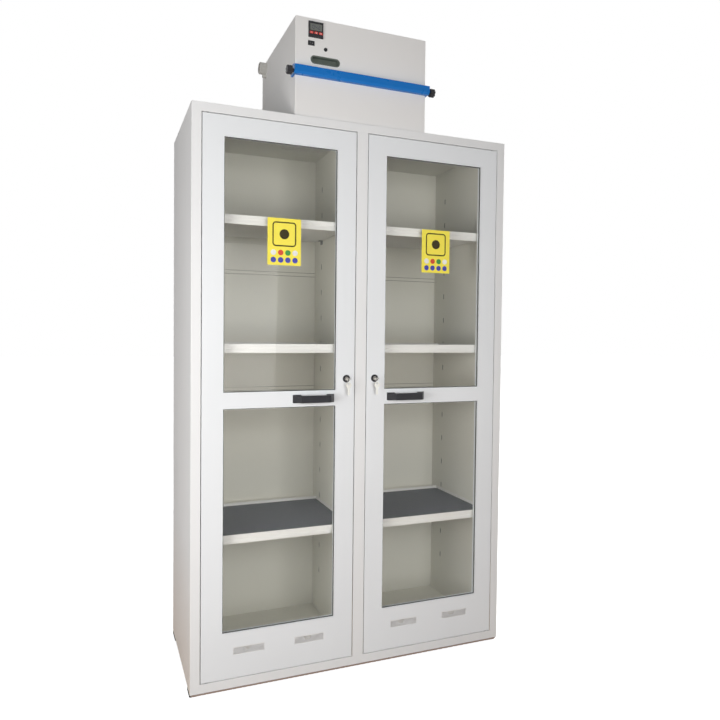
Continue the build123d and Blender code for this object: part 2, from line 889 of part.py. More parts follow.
def hood_casing():
    """Upper casing: a box open below, with its hinge knuckles behind."""
    outer = filter_block(hood_bottom, hood_top)
    top = outer.faces().sort_by(Axis.Z)[-1].edges()
    uprights = outer.edges().filter_by(Axis.Z)
    shell = fillet(top + uprights, hood_edge_radius)
    shell -= filter_block(hood_bottom, hood_top - filter_sheet, filter_sheet)
    for knuckle in hood_knuckles():
        shell += knuckle
    return shell - hood_cutouts()


def fan_motor():
    """Motor hung from the roof of the hood, shaft downwards."""
    z1 = hood_top - filter_sheet
    flange = rod_z(motor_flange_radius, z1 - motor_flange_thickness, z1, 0, fan_y)
    can = rod_z(motor_radius, z1 - motor_height, z1, 0, fan_y)
    shaft_end = z1 - motor_height - impeller_motor_gap - impeller_hub_bore_end
    return flange + can + rod_z(shaft_radius, shaft_end, z1 - motor_height, 0, fan_y)


def fan_impeller():
    """Backward-curved wheel: back plate, hub, blades and an inlet ring."""
    z1 = hood_top - filter_sheet - motor_height - impeller_motor_gap
    z0 = z1 - impeller_height
    wheel = rod_z(impeller_radius, z1 - impeller_plate, z1, 0, fan_y)
    ring = rod_z(impeller_radius, z0, z0 + impeller_plate, 0, fan_y)
    ring -= rod_z(impeller_radius - impeller_ring_width, z0, z0 + impeller_plate, 0, fan_y)
    wheel += ring
    wheel += rod_z(impeller_hub_radius, z1 - impeller_hub_height, z1, 0, fan_y)
    blade = Box(impeller_blade_length, impeller_plate, impeller_height - impeller_plate)
    blade = Pos(impeller_blade_middle, 0, 0) * Rot(0, 0, impeller_blade_angle) * blade
    for number in range(impeller_blades):
        turn = Rot(0, 0, 360 / impeller_blades * number)
        wheel += Pos(0, fan_y, (z0 + z1) / 2) * turn * blade
    return wheel - rod_z(shaft_radius + running_gap, z0, z1 + cut_over, 0, fan_y)


def controller_key_places():
    middle = control_x(controller_left) + controller_width / 2
    z = control_z(controller_top + key_pad_top)
    return [(middle + way * key_pad_spacing, z) for way in (-1, 0, 1)]


def controller_case():
    """Panel instrument: bezel in front of the hood and its body behind."""
    x0 = control_x(controller_left)
    z1 = control_z(controller_top)
    face = filter_front - controller_proud
    bezel = slab((x0, x0 + controller_width), (face, filter_front), (z1 - controller_height, z1))
    bezel = chamfer(bezel.faces().sort_by(Axis.Y)[0].edges(), controller_chamfer)
    body = slab((x0 + controller_rim, x0 + controller_width - controller_rim),
                (filter_front, filter_front + controller_body),
                (z1 - controller_height + controller_rim, z1 - controller_rim))
    case = bezel + body
    middle = x0 + controller_width / 2
    case -= slab((middle - display_width / 2, middle + display_width / 2),
                 (face - cut_over, face + display_recess + display_thickness),
                 (z1 - display_top - display_height, z1 - display_top))
    pocket = key_pad_length - key_pad_proud + key_pad_travel
    half_w = key_pad_width / 2 + key_pad_fit
    half_h = key_pad_height / 2 + key_pad_fit
    for x, z in controller_key_places():
        case -= slab((x - half_w, x + half_w), (face - cut_over, face + pocket + key_pad_fit),
                     (z - half_h, z + half_h))
    return case


def controller_display():
    middle = control_x(controller_left) + controller_width / 2
    z1 = control_z(controller_top + display_top)
    face = filter_front - controller_proud + display_recess
    return slab((middle - display_width / 2, middle + display_width / 2),
                (face, face + display_thickness), (z1 - display_height, z1))


def controller_key(place):
    x, z = place
    y0 = filter_front - controller_proud - key_pad_proud
    pad = slab((x - key_pad_width / 2, x + key_pad_width / 2), (y0, y0 + key_pad_length),
               (z - key_pad_height / 2, z + key_pad_height / 2))
    return fillet(pad.faces().sort_by(Axis.Y)[0].edges(), key_pad_proud / 3)


def rocker_middle():
    return (control_x(rocker_left) + rocker_bezel_width / 2,
            filter_front - rocker_bezel_proud + rocker_depth / 2,
            control_z(rocker_top) - rocker_bezel_height / 2)


def switch_bezels():
    """Frame of the rocker switch and collar of the push button."""
    x, y, z = rocker_middle()
    half_w = rocker_bezel_width / 2
    half_h = rocker_bezel_height / 2
    frame = slab((x - half_w, x + half_w), (filter_front - rocker_bezel_proud, filter_front),
                 (z - half_h, z + half_h))
    frame += slab((x - half_w + bezel_lip, x + half_w - bezel_lip),
                  (filter_front, filter_front + rocker_bezel_body),
                  (z - half_h + bezel_lip, z + half_h - bezel_lip))
    frame -= slab((x - half_w + rocker_wall, x + half_w - rocker_wall),
                  (filter_front - rocker_bezel_proud - cut_over,
                   filter_front + rocker_bezel_body - rocker_wall),
                  (z - half_h + rocker_wall, z + half_h - rocker_wall))
    frame -= rod_z(rocker_pin_radius + running_gap, z - half_h + rocker_pin_cover,
                   z + half_h - rocker_pin_cover, x, y)
    bx = control_x(button_left)
    bz = control_z(button_top)
    collar = rod_y(button_collar_radius, filter_front - button_collar_proud, filter_front, bx, bz)
    collar += rod_y(button_collar_radius - bezel_lip, filter_front, filter_front + button_body, bx, bz)
    collar -= rod_y(button_radius + button_fit, filter_front - button_collar_proud - cut_over,
                    filter_front + button_body - bezel_lip, bx, bz)
    return [frame, collar]


def rocker_switch():
    """Rocker with a shallow V front, resting tilted on its pin."""
    x, y, z = rocker_middle()
    half_w = rocker_bezel_width / 2 - rocker_wall - rocker_fit
    half_h = rocker_bezel_height / 2 - rocker_wall - rocker_fit
    edge_y = -rocker_depth / 2 - rocker_edge_set
    outline = [(-half_w, edge_y), (0, -rocker_depth / 2 + rocker_middle_set), (half_w, edge_y),
               (half_w - rocker_taper, rocker_depth / 2), (-half_w + rocker_taper, rocker_depth / 2)]
    body = prism_z(outline, -half_h, half_h)
    pin_end = half_h + rocker_fit + rocker_pin_reach
    body += rod_z(rocker_pin_radius, -pin_end, pin_end, 0, 0)
    return Pos(x, y, z) * Rot(0, 0, rocker_tilt) * body


def push_button():
    bx = control_x(button_left)
    bz = control_z(button_top)
    y1 = filter_front + button_body - bezel_lip - button_travel - button_fit
    cap = rod_y(button_radius, filter_front - button_proud, y1, bx, bz)
    return fillet(cap.faces().sort_by(Axis.Y)[0].edges(), button_radius / 4)


def pull_cup():
    """Oval finger cup let into the hood."""
    x = control_x(cup_left)
    z = control_z(cup_top)
    flange = stadium(cup_length, cup_height, filter_front - cup_flange_proud, filter_front, x, z)
    length = cup_length - 2 * cup_flange
    height = cup_height - 2 * cup_flange
    bowl = stadium(length, height, filter_front, filter_front + cup_depth, x, z)
    hollow = stadium(length - 2 * cup_wall, height - 2 * cup_wall,
                     filter_front - cup_flange_proud, filter_front + cup_depth - cup_wall, x, z)
    return flange + bowl - hollow


def clamp_bar():
    """Bar across the front at the split, with a tab round each side."""
    top = split_z + bar_top_above_split
    y0 = filter_front - bar_fit
    nose = filter_front - bar_reach
    outline = [(y0, top), (nose, top - bar_nose_drop), (nose, top - bar_height + bar_lower_slope),
               (nose + bar_lower_slope, top - bar_height), (y0, top - bar_height)]
    reach = filter_width / 2 + bar_tab_thickness
    bar = prism_x(outline, -reach, reach)
    outer = filter_left - bar_tab_thickness
    tab = slab((outer, filter_left - bar_fit), (y0, y0 + bar_tab_length), (top - bar_height, top))
    bar += tab
    bar += other_side(tab)
    hole = rod_x(knob_stud_radius + running_gap, outer - cut_over,
                 outer + knob_stud_length + knob_hole_spare, knob_y, knob_z)
    return bar - [hole, other_side(hole)]


def knob():
    """Lobed clamping knob, its neck and the stud in the bar's left end."""
    outer = filter_left - bar_tab_thickness
    seat = outer - knob_seat_gap
    inner_face = seat - knob_neck_length
    outer_face = inner_face - knob_length
    body = rod_x(knob_radius, outer_face, inner_face, knob_y, knob_z)
    for number in range(knob_lobes):
        turn = math.radians(360 / knob_lobes * number)
        body -= rod_x(knob_lobe_radius, outer_face - cut_over, inner_face + cut_over,
                      knob_y + knob_radius * math.cos(turn), knob_z + knob_radius * math.sin(turn))
    body = chamfer(body.faces().sort_by(Axis.X)[0].edges(), knob_chamfer)
    neck = rod_x(knob_neck_radius, inner_face, seat, knob_y, knob_z)
    return body + neck + rod_x(knob_stud_radius, seat, outer + knob_stud_length, knob_y, knob_z)


def power_inlet():
    """Round boss on the left side of the hood with a socket and a tab."""
    y = filter_back - inlet_from_back
    z = hood_top - inlet_from_top
    boss = rod_x(inlet_radius, filter_left - inlet_length, filter_left, y, z)
    boss = fillet(boss.faces().sort_by(Axis.X)[0].edges(), inlet_edge_radius)
    boss -= rod_x(inlet_recess_radius, filter_left - inlet_length - cut_over,
                  filter_left - inlet_length + inlet_recess_depth, y, z)
    tab = slab((filter_left - inlet_length / 2, filter_left),
               (y - inlet_tab_width / 2, y + inlet_tab_width / 2),
               (z - inlet_radius - inlet_tab_height, z - inlet_radius / 2))
    return boss + tab


def write(node, shape):
    """One STEP file for a node, which may hold several separate solids."""
    if isinstance(shape, list):
        shape = Compound(children=[solid for piece in shape for solid in piece.solids()])
    export_step(shape, f"parts/{node}.step")


os.makedirs("parts", exist_ok=True)

left_panel = side_panel()
left_liner = side_liner()
left_back_liner = back_liner()
write("side_panel_left", left_panel)
write("side_panel_right", other_side(left_panel))
write("side_liner_left", left_liner)
write("side_liner_right", other_side(left_liner))
write("back_liners", [left_back_liner, other_side(left_back_liner)])
write("top_panel", top_panel())
write("ceiling_liner", ceiling_liner())
write("floor_panel", floor_panel())
write("back_panel", back_panel())
write("partition", partition())
write("front_top_rail", front_top_rail())
write("front_bottom_rail", front_bottom_rail())
write("centre_post", centre_post())
write("door_pins", door_pins())
write("feet", feet())
write("base_strips", base_strips())
write("shelves", both_bays(shelf))
write("shelf_mats", both_bays(shelf_mat))
write("shelf_clips", both_bays(shelf_clips))

door_sets = {"left": (lambda shape: shape, handle_inset_left, sign_shift),
             "right": (other_side, handle_inset_right, -sign_shift)}
for side, (place, handle_inset, card_shift) in door_sets.items():
    write(f"door_skin_{side}", place(door_skin()))
    write(f"door_inner_panel_{side}", place(door_inner_panel()))
    write(f"door_lower_glass_{side}", place(glass(*lower_window)))
    write(f"door_upper_glass_{side}", place(glass(*upper_window)))
    write(f"door_vent_grilles_{side}", [place(grille) for grille in vent_grilles()])
    write(f"door_sign_card_{side}", place(sign_card(card_shift)))
    write(f"door_handle_{side}", place(handle(handle_inset)))
    write(f"lock_case_{side}", place(lock_case()))
    write(f"lock_plug_{side}", place(lock_plug()))
    write(f"lock_key_{side}", place(lock_key()))
    write(f"spare_key_{side}", [place(piece) for piece in spare_key()])

write("filter_base", filter_base())
write("filter_cassette", filter_cassette())
write("hood_hinges", hood_hinges())
write("hood_casing", hood_casing())
write("fan_motor", fan_motor())
write("fan_impeller", fan_impeller())
write("controller_case", controller_case())
write("controller_display", controller_display())
for name, place in zip(("left", "middle", "right"), controller_key_places()):
    write(f"controller_key_{name}", controller_key(place))
write("switch_bezels", switch_bezels())
write("rocker_switch", rocker_switch())
write("push_button", push_button())
write("pull_cup", pull_cup())
write("clamp_bar", clamp_bar())
write("knob_left", knob())
write("knob_right", other_side(knob()))
write("power_inlet", power_inlet())
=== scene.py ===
# %% [markdown]
# # Dressing a safety storage cabinet
# The real cabinet is folded sheet steel with a baked powder coat, two glazed doors, tray shelves
# and a fan and filter unit bolted to its roof. Its steel, glass and locks come ready made as CAD
# pieces at their real size, each named, so this lesson adds what CAD leaves out: the finish of
# every surface, small printed and pressed details, the light and the camera.

# %% Load the cabinet as a fixed frame
import json
import math

import bmesh
import bpy
from mathutils import Matrix, Quaternion, Vector


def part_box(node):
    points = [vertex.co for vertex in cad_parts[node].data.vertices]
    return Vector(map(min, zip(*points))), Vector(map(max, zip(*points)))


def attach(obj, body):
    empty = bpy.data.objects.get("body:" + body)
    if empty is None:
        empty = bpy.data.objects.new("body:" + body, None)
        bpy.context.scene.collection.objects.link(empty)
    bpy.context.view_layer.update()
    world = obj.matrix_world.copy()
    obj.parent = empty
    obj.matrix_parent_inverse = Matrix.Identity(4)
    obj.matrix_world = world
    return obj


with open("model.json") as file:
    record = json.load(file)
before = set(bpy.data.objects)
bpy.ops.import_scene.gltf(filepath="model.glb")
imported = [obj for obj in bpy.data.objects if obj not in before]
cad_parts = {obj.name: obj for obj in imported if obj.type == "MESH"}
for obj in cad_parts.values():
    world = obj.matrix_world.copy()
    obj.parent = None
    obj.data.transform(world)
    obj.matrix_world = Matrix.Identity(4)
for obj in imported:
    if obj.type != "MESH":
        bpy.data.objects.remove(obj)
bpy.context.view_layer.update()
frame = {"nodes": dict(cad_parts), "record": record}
nodes = frame["nodes"]

for plain in list(bpy.data.materials):
    bpy.data.materials.remove(plain)
print("the plain colours that came with the frame are cleared, so their names are free")

# %% [markdown]
# ## The camera
# The photograph was taken from the left of the cabinet at chest height, close enough for strong
# perspective. A camera could be aimed at the middle by a constraint, but the picture has to lie
# over the photograph, so its place, its turn and its lens are written down as measured: the
# roof and floor lines of the front fix the height and the tilt, the two stiles fix the lens.

# %% Place the camera
PICTURE = 720
FOCAL_PIXELS = 650.25
SENSOR = 36.0
CAMERA_PLACE = Vector((-0.8772, -2.4084, 1.2177))
CAMERA_YAW = math.radians(21.957)
CAMERA_DIP = math.radians(1.62)
CAMERA_ROLL = math.radians(0.604)
OPTICAL_ROW = 352.15

lens = bpy.data.cameras.new("camera")
lens.sensor_width = SENSOR
lens.lens = FOCAL_PIXELS / PICTURE * SENSOR
lens.shift_y = (OPTICAL_ROW - PICTURE / 2) / PICTURE
camera = bpy.data.objects.new("camera", lens)
bpy.context.scene.collection.objects.link(camera)
gaze = Vector((math.sin(CAMERA_YAW) * math.cos(CAMERA_DIP),
               math.cos(CAMERA_YAW) * math.cos(CAMERA_DIP), -math.sin(CAMERA_DIP)))
camera.rotation_mode = "QUATERNION"
camera.rotation_quaternion = gaze.to_track_quat("-Z", "Y") @ Quaternion((0, 0, 1), CAMERA_ROLL)
camera.location = CAMERA_PLACE
bpy.context.scene.camera = camera
bpy.context.scene.view_settings.view_transform = "Standard"
print("camera lens", round(lens.lens, 2), "mm")

# %% [markdown]
# ## Helpers for finishes
# Every finish is a small tree of nodes round one Principled shader. Colours are picked as on a
# paint card, from 0 to 255, and turned into the linear values that the shader works in.
# All patterns read Object coordinates: the pieces sit at the origin unturned, so these are
# metres in the cabinet's own frame and a grain keeps its real size on every piece.

# %% Colour and node helpers
def linear(red, green, blue):
    """A paint-card colour from 0 to 255 as a linear colour with alpha."""
    shares = [value / 255 for value in (red, green, blue)]
    return [s / 12.92 if s <= 0.04045 else ((s + 0.055) / 1.055) ** 2.4 for s in shares] + [1.0]


def shaded(colour, factor):
    """The same colour made darker or lighter by a factor."""
    return [channel * factor for channel in colour[:3]] + [1.0]


def finish_tree(name):
    """A new material with its node tree and its Principled shader."""
    material = bpy.data.materials.new(name)
    material.use_nodes = True
    return material, material.node_tree, material.node_tree.nodes["Principled BSDF"]


def node(tree, kind, **sockets):
    """A node of that kind, with some of its sockets set by name."""
    made = tree.nodes.new("ShaderNode" + kind)
    for name, value in sockets.items():
        made.inputs[name.replace("_", " ")].default_value = value
    return made


def calculated(tree, operation, *values):
    """The result of a Math node on one or two sockets."""
    sums = tree.nodes.new("ShaderNodeMath")
    sums.operation = operation
    for number, value in enumerate(values):
        tree.links.new(value, sums.inputs[number])
    return sums.outputs["Value"]


def axes_of(tree, vector):
    """The X, Y and Z sockets of a vector socket."""
    split = node(tree, "SeparateXYZ")
    tree.links.new(vector, split.inputs["Vector"])
    return split.outputs


def noise(tree, scale, detail=2.0, stretch=(1, 1, 1)):
    """Cloudy noise in Object coordinates, scale in clouds per metre."""
    place = node(tree, "TexCoord")
    mapping = node(tree, "Mapping", Scale=stretch)
    cloud = node(tree, "TexNoise", Scale=scale, Detail=detail)
    tree.links.new(place.outputs["Object"], mapping.inputs["Vector"])
    tree.links.new(mapping.outputs["Vector"], cloud.inputs["Vector"])
    return cloud.outputs["Fac"]


def spread(tree, factor, low, high, start=0.3, end=0.7):
    """A factor from start to end, mapped onto values from low to high."""
    ranged = node(tree, "MapRange")
    for name, value in (("From Min", start), ("From Max", end), ("To Min", low), ("To Max", high)):
        ranged.inputs[name].default_value = value
    tree.links.new(factor, ranged.inputs["Value"])
    return ranged.outputs["Result"]


def blend_colours(tree, factor, first, second):
    """Two colours mixed by a factor. Either may be a socket or a plain colour."""
    mix = tree.nodes.new("ShaderNodeMix")
    mix.data_type = "RGBA"
    for name, colour in (("A", first), ("B", second)):
        target = [s for s in mix.inputs if s.name == name and s.type == "RGBA"][0]
        if isinstance(colour, bpy.types.NodeSocket):
            tree.links.new(colour, target)
        else:
            target.default_value = colour
    tree.links.new(factor, mix.inputs[0])
    return [s for s in mix.outputs if s.type == "RGBA"][0]


def blend_shaders(tree, factor, first, second):
    """Two shaders mixed by a factor."""
    mix = tree.nodes.new("ShaderNodeMixShader")
    tree.links.new(factor, mix.inputs["Fac"])
    tree.links.new(first, mix.inputs[1])
    tree.links.new(second, mix.inputs[2])
    return mix.outputs["Shader"]


def raise_grain(tree, shader, height, depth, strength=1.0):
    """A bump of that depth in metres, driven by a height socket."""
    bump = node(tree, "Bump", Strength=strength, Distance=depth)
    tree.links.new(height, bump.inputs["Height"])
    tree.links.new(bump.outputs["Normal"], shader.inputs["Normal"])


# %% [markdown]
# ## Powder coat
# Powder coat is sprayed dry and baked, which leaves a satin skin with a faint orange peel about
# a millimetre across and a tone that drifts a little over a large panel. A flat colour would
# look like plastic film. The skin is a noise bump for the peel, a slow noise for the tone, and
# a warm tint low down on the outer side walls. The tint is partly floor dust, as a cabinet that
# stands in a passage collects, and partly painted warm light reflected from the floor. The
# height above the floor and the sideways part of the normal say where it lies.

# %% Powder coat
# A warm tint for the feet of the side walls: partly dust, partly painted light reflected from the
# floor.
DUST_AND_BOUNCE_COLOUR = linear(222, 182, 134)
DUST_AND_BOUNCE_REACH = 0.5
TONE_CLOUDS = 2.2
SHEEN_CLOUDS = 38
PEEL_CLOUDS = 850


def dust_and_bounce_share(tree, amount):
    """How much warm tint a point gets, partly dust and partly painted floor bounce: most at the
    foot of faces that look sideways, none on others.
    """
    place = node(tree, "TexCoord")
    height = axes_of(tree, place.outputs["Object"])["Z"]
    sideways = calculated(tree, "ABSOLUTE", axes_of(tree, place.outputs["Normal"])["X"])
    low_down = spread(tree, height, amount, 0.0, 0.0, DUST_AND_BOUNCE_REACH)
    return calculated(tree, "MULTIPLY", low_down, sideways)


def powder_coat(name, colour, roughness, peel_depth=0.00004, gloss=0.35, dust_and_bounce=0.0):
    """Baked paint with an orange peel, a drifting tone and, if wanted, a warm tint low down that is
    partly dust and partly painted floor bounce.
    """
    material, tree, shader = finish_tree(name)
    drift = spread(tree, noise(tree, TONE_CLOUDS, 3.0), 0, 1)
    tone = blend_colours(tree, drift, shaded(colour, 0.965), colour)
    # The warm tint paints the floor's reflected light along with some dust.
    if dust_and_bounce:
        tone = blend_colours(tree, dust_and_bounce_share(tree, dust_and_bounce), tone, DUST_AND_BOUNCE_COLOUR)
    tree.links.new(tone, shader.inputs["Base Color"])
    sheen = spread(tree, noise(tree, SHEEN_CLOUDS, 3.0), roughness - 0.04, roughness + 0.05)
    tree.links.new(sheen, shader.inputs["Roughness"])
    shader.inputs["Specular IOR Level"].default_value = gloss
    raise_grain(tree, shader, noise(tree, PEEL_CLOUDS, 2.0), peel_depth, 0.55)
    return material


cabinet_enamel = powder_coat("cabinet_enamel", linear(239, 240, 240), 0.60, gloss=0.12, dust_and_bounce=0.3)
powder_coat("door_enamel", linear(237, 240, 242), 0.46, gloss=0.3)
shelf_enamel = powder_coat("shelf_enamel", linear(238, 238, 235), 0.46, gloss=0.25)
powder_coat("liner_enamel", linear(229, 228, 219), 0.6, gloss=0.15)
powder_coat("filter_enamel", linear(240, 239, 237), 0.62, gloss=0.08)
powder_coat("blue_enamel", linear(14, 114, 196), 0.3, 0.00002, gloss=0.25)
vent_enamel = powder_coat("vent_enamel", linear(236, 236, 235), 0.55, gloss=0.2)
# The brownish grey of the base strip paints the shade under the cabinet and the floor's warm
# reflected light on it.
powder_coat("base_steel", linear(160, 142, 130), 0.6, gloss=0.2)
powder_coat("motor_steel", linear(46, 47, 50), 0.45, 0.00006)
print("powder coats made")

# %% [markdown]
# ## Bare metals
# Zinc plate is dull with a spangle of small crystals, the lock is bright nickel that has been
# handled, and the fan wheel is pressed aluminium. Each is metallic with its own pattern: cells
# in the colour for the spangle, fine noise in the roughness for rubbed marks, stretched along
# the blades of the fan wheel.

# %% Metals
SPANGLE_CELLS = 420
RUBBING_CLOUDS = 900


def zinc_plate(name, colour, roughness):
    """Dull plated steel with its spangle of crystals."""
    material, tree, shader = finish_tree(name)
    place = node(tree, "TexCoord")
    cells = node(tree, "TexVoronoi", Scale=SPANGLE_CELLS)
    tree.links.new(place.outputs["Object"], cells.inputs["Vector"])
    spangle = blend_colours(tree, cells.outputs["Distance"], shaded(colour, 0.8), colour)
    tree.links.new(spangle, shader.inputs["Base Color"])
    tree.links.new(spread(tree, noise(tree, 260), roughness, roughness + 0.15),
                   shader.inputs["Roughness"])
    shader.inputs["Metallic"].default_value = 1.0
    return material


def rubbed_metal(name, colour, roughness, stretch=(1, 1, 1)):
    """Handled or pressed metal with fine rubbed marks."""
    material, tree, shader = finish_tree(name)
    rubbing = noise(tree, RUBBING_CLOUDS, 3.0, stretch)
    tree.links.new(spread(tree, rubbing, roughness, roughness + 0.12), shader.inputs["Roughness"])
    tone = blend_colours(tree, noise(tree, 160), shaded(colour, 0.88), colour)
    tree.links.new(tone, shader.inputs["Base Color"])
    raise_grain(tree, shader, rubbing, 0.00001, 0.4)
    shader.inputs["Metallic"].default_value = 1.0
    return material


zinc_steel = zinc_plate("zinc_steel", linear(158, 159, 160), 0.38)
rubbed_metal("lock_chrome", linear(160, 156, 150), 0.26)
key_nickel = rubbed_metal("key_nickel", linear(232, 230, 223), 0.34)
rubbed_metal("fan_alloy", linear(190, 192, 194), 0.3, (0.2, 0.2, 3))
print("metals made")

# %% [markdown]
# ## Plastics, rubber and carbon
# The handles, knobs and switches are moulded plastic with a spark-eroded grain, finer than
# skin. Rubber is the same kind of surface with less gloss. The shelf mats have shallow ribs a
# few millimetres apart along the front, made by a wave that only bends the normals, because
# the ribs are less than half a millimetre high.

# %% Plastics, rubber and the filter bed
WEAR_CLOUDS = 45
RIB_PITCH = 0.004
RIB_HEIGHT = 0.0004
WAVE_REPEAT = math.tau / 20


def moulded(name, colour, roughness, grain_scale=1500, grain_depth=0.00005, gloss=0.25, wear=0.7):
    """Moulded or printed surface with a fine grain and paler worn patches."""
    material, tree, shader = finish_tree(name)
    shader.inputs["Specular IOR Level"].default_value = gloss
    worn = [min(1.0, channel * 1.25 + 0.004) for channel in colour[:3]] + [1.0]
    patches = spread(tree, noise(tree, WEAR_CLOUDS, 4.0), 0, wear, 0.45, 0.75)
    tree.links.new(blend_colours(tree, patches, colour, worn), shader.inputs["Base Color"])
    tree.links.new(spread(tree, noise(tree, 120, 3.0), roughness - 0.05, roughness + 0.08),
                   shader.inputs["Roughness"])
    raise_grain(tree, shader, noise(tree, grain_scale, 2.0), grain_depth, 0.5)
    return material


def ribbed_mat(name, colour):
    """Rubber mat with ribs along the front. At scale 1 the wave repeats every WAVE_REPEAT m."""
    material, tree, shader = finish_tree(name)
    place = node(tree, "TexCoord")
    ribs = node(tree, "TexWave", Scale=WAVE_REPEAT / RIB_PITCH)
    ribs.bands_direction = "Y"
    tree.links.new(place.outputs["Object"], ribs.inputs["Vector"])
    chalking = spread(tree, noise(tree, 30, 4.0), 0, 0.6)
    tree.links.new(blend_colours(tree, chalking, colour, shaded(colour, 1.5)),
                   shader.inputs["Base Color"])
    shader.inputs["Roughness"].default_value = 0.72
    raise_grain(tree, shader, ribs.outputs["Fac"], RIB_HEIGHT, 0.7)
    return material


moulded("black_plastic", linear(44, 44, 47), 0.42)
moulded("grey_plastic", linear(96, 104, 97), 0.5)
moulded("light_plastic", linear(186, 184, 179), 0.5)
moulded("red_key", linear(232, 84, 76), 0.36)
moulded("foot_rubber", linear(34, 32, 31), 0.92, 900, gloss=0.0)
seal_rubber = moulded("seal_rubber", linear(62, 64, 66), 0.7, 1200, gloss=0.1)
moulded("yellow_card", linear(252, 236, 92), 0.38, 2500, 0.00001, wear=0.15)
moulded("carbon", linear(52, 50, 48), 0.9, 500, 0.0006)
ribbed_mat("mat_rubber", linear(96, 100, 108))
print("plastics made")

# %% [markdown]
# ## Glass
# The panes are 4 mm float glass, nearly without a tint. Its index is set lower than that of real
# glass, because the photograph shows hardly a reflection in the panes. A shader that truly
# bends light would block the lamps, and the compartments behind would go black, so rays from
# lamps and rays that gather soft light pass straight through a clear shader of the same tint.

# %% Glass and the display lens
GLASS_INDEX = 1.22


def window_glass(name, tint):
    """Clear glass that lets lamp light and gathered light through."""
    material, tree, shader = finish_tree(name)
    shader.inputs["Base Color"].default_value = tint
    shader.inputs["Roughness"].default_value = 0.0
    shader.inputs["IOR"].default_value = GLASS_INDEX
    shader.inputs["Transmission Weight"].default_value = 1.0
    rays = node(tree, "LightPath").outputs
    passing = calculated(tree, "MAXIMUM", rays["Is Shadow Ray"], rays["Is Diffuse Ray"])
    clear = node(tree, "BsdfTransparent", Color=tint)
    pane = blend_shaders(tree, passing, shader.outputs["BSDF"], clear.outputs["BSDF"])
    tree.links.new(pane, tree.nodes["Material Output"].inputs["Surface"])
    return material


window_glass("glass", linear(254, 254, 253))
moulded("display", linear(110, 113, 108), 0.3, 3000, 0.000005)
print("glass made")

# %% [markdown]
# ## Finishes onto the CAD pieces
# Each CAD piece names a material slot in its record. The finishes above carry the same names
# and are found by them, so one loop dresses every piece, and a finish that was forgotten would
# stop the loop.

# %% Dress every CAD node
for part in frame["record"]["subparts"]:
    piece = nodes[part["node"]]
    finish = bpy.data.materials[part["material_slot"]]
    piece.data.materials.clear()
    piece.data.materials.append(finish)

SPECIAL_FINISHES = {"door_vent_grilles": vent_enamel, "spare_key": key_nickel}
for side in ("left", "right"):
    for name, finish in SPECIAL_FINISHES.items():
        nodes[name + "_" + side].data.materials[0] = finish

# %% [markdown]
# ## Helpers for modelled pieces
# New pieces are small flat things: prints, seals, rivets. Each shape is made lying at the origin,
# standing up from z = 0, where insets and extrusions are simple. It is then stamped into the
# piece's bmesh with a matrix that turns it to the face it belongs on. All pieces end the same
# way: normals outwards, an object at the origin, a finish, and the body it rides on.

# %% Shapes that lie at the origin
MM = 0.001
FACING_FRONT = Matrix.Rotation(math.radians(90), 4, "X")
FACING_BACK = Matrix.Rotation(math.radians(-90), 4, "X")
FACING_UP = Matrix.Identity(4)
FACING_DOWN = Matrix.Rotation(math.pi, 4, "X")
FACING_LEFT = Matrix.Rotation(-math.pi / 2, 4, "Y")
RIVET_TOP_SHARE = 0.7
RIVET_RIM_SHARE = 0.36
RIVET_HOLLOW_SHARE = 0.6


def raise_up(shape, thickness):
    """Gives flat faces a thickness along z."""
    raised = bmesh.ops.extrude_face_region(shape, geom=shape.faces[:])["geom"]
    top = [part for part in raised if isinstance(part, bmesh.types.BMVert)]
    bmesh.ops.translate(shape, vec=(0, 0, thickness), verts=top)
    return shape


def keep_rim(shape, width):
    """Cuts the middle out of a flat face, so that a rim of that width stays."""
    rim = bmesh.ops.inset_region(shape, faces=shape.faces[:], thickness=width, use_boundary=True,
                                 use_even_offset=True)["faces"]
    middle = [face for face in shape.faces if face not in rim]
    bmesh.ops.delete(shape, geom=middle, context="FACES")


def plate_shape(width, height, thickness, corner=0.0, rim=0.0):
    """A plate with rounded corners, or only its rim."""
    shape = bmesh.new()
    bmesh.ops.create_grid(shape, x_segments=1, y_segments=1, size=0.5)
    bmesh.ops.scale(shape, vec=(width, height, 1), verts=shape.verts[:])
    if corner:
        bmesh.ops.bevel(shape, geom=shape.verts[:], offset=corner, segments=5, profile=0.5,
                        affect="VERTICES", material=-1)
    if rim:
        keep_rim(shape, rim)
    return raise_up(shape, thickness)


def disc_shape(radius, thickness, rim=0.0, segments=24):
    """A round plate, or only its rim."""
    shape = bmesh.new()
    bmesh.ops.create_circle(shape, cap_ends=True, segments=segments, radius=radius)
    if rim:
        keep_rim(shape, rim)
    return raise_up(shape, thickness)


def rivet_shape(radius, height):
    """A blind rivet: a flat dome with the hollow that its pin left."""
    shape = bmesh.new()
    bmesh.ops.create_cone(shape, cap_ends=True, segments=16, radius1=radius,
                          radius2=radius * RIVET_TOP_SHARE, depth=height)
    bmesh.ops.translate(shape, vec=(0, 0, height / 2), verts=shape.verts[:])
    top = max(shape.faces, key=lambda face: face.calc_center_median().z)
    bmesh.ops.inset_region(shape, faces=[top], thickness=radius * RIVET_RIM_SHARE)
    hollow = bmesh.ops.extrude_face_region(shape, geom=[top])["geom"]
    floor_verts = [part for part in hollow if isinstance(part, bmesh.types.BMVert)]
    bmesh.ops.translate(shape, vec=(0, 0, -height * RIVET_HOLLOW_SHARE), verts=floor_verts)
    bmesh.ops.delete(shape, geom=[top], context="FACES_ONLY")
    return shape


print("flat shapes ready")

# %% Stamping shapes into a piece
SMOOTH_BELOW = math.radians(35)
CAST_FROM = 10 * MM


